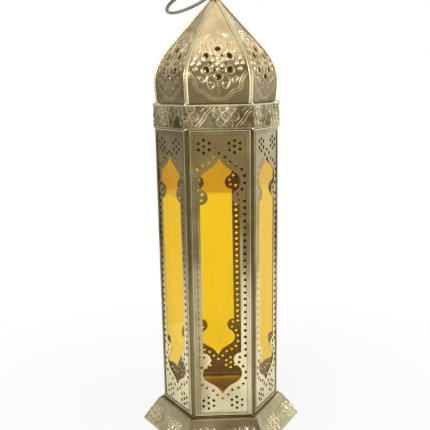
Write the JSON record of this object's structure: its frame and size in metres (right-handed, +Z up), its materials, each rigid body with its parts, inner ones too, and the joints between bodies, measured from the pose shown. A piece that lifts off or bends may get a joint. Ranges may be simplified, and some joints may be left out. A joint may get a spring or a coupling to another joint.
{
  "type": "moroccan lantern",
  "caption": "Hexagonal pierced-metal lantern with arched amber glass panels, a ribbed onion dome, a hinged rear door and a hanging ring.",
  "frame": {"origin": "middle of the base's underside, on the surface that the lantern stands on", "axes": "+Z up the lantern's axis, -Y out of the front panel, +X to the right of the front panel"},
  "size_m": [0.149, 0.129, 0.411],
  "materials": {
    "base_metal": "aged, embossed",
    "floor_metal": "dull",
    "frame_metal": "satin",
    "pierced_sheet": "satin, lightly aged",
    "amber_glass": "clear amber",
    "frieze_metal": "aged, embossed",
    "dome_metal": "aged, embossed",
    "rib_metal": "satin",
    "wire_metal": "dull wire"
  },
  "bodies": {
    "lantern": {"base_skirt": "base_metal", "floor_plate": "floor_metal", "front_frame": "frame_metal", "front_sheet": "pierced_sheet", "front_glass": "amber_glass", "front_right_frame": "frame_metal", "front_right_sheet": "pierced_sheet", "front_right_glass": "amber_glass", "rear_right_frame": "frame_metal", "rear_right_sheet": "pierced_sheet", "rear_right_glass": "amber_glass", "rear_left_frame": "frame_metal", "rear_left_sheet": "pierced_sheet", "rear_left_glass": "amber_glass", "front_left_frame": "frame_metal", "front_left_sheet": "pierced_sheet", "front_left_glass": "amber_glass", "frieze_band": "frieze_metal", "dome_gore_front": "dome_metal", "dome_gore_front_right": "dome_metal", "dome_gore_rear_right": "dome_metal", "dome_gore_rear": "dome_metal", "dome_gore_rear_left": "dome_metal", "dome_gore_front_left": "dome_metal", "dome_rib_1": "rib_metal", "dome_rib_2": "rib_metal", "dome_rib_3": "rib_metal", "dome_rib_4": "rib_metal", "dome_rib_5": "rib_metal", "dome_rib_6": "rib_metal", "apex_cap": "rib_metal", "hanging_eye": "wire_metal", "lower_hinge_fixed_leaf": "frame_metal", "lower_hinge_pin": "wire_metal", "upper_hinge_fixed_leaf": "frame_metal", "upper_hinge_pin": "wire_metal", "latch_post": "wire_metal"},
    "door": {"door_frame": "frame_metal", "door_sheet": "pierced_sheet", "door_glass": "amber_glass", "lower_hinge_door_leaf": "frame_metal", "upper_hinge_door_leaf": "frame_metal", "latch_stud": "wire_metal"},
    "latch": {"latch_hook": "wire_metal"},
    "ring": {"hanging_ring": "wire_metal"}
  },
  "joints": [
    {"name": "door_hinge", "type": "hinge", "parent": "lantern", "child": "door", "pos_m": [-0.02846, 0.04929, 0.1511], "axis": [-0.0028, 0.0048, 1], "range_deg": [0, 120]},
    {"name": "latch_swing", "type": "hinge", "parent": "lantern", "child": "latch", "pos_m": [0.03104, 0.04676, 0.1511], "axis": [-0.5, -0.866, 0], "range_deg": [0, 270]},
    {"name": "ring_swing", "type": "hinge", "parent": "lantern", "child": "ring", "pos_m": [0, 0, 0.40216], "axis": [0.4067, 0.9135, 0], "range_deg": [-20, 255]}
  ]
}
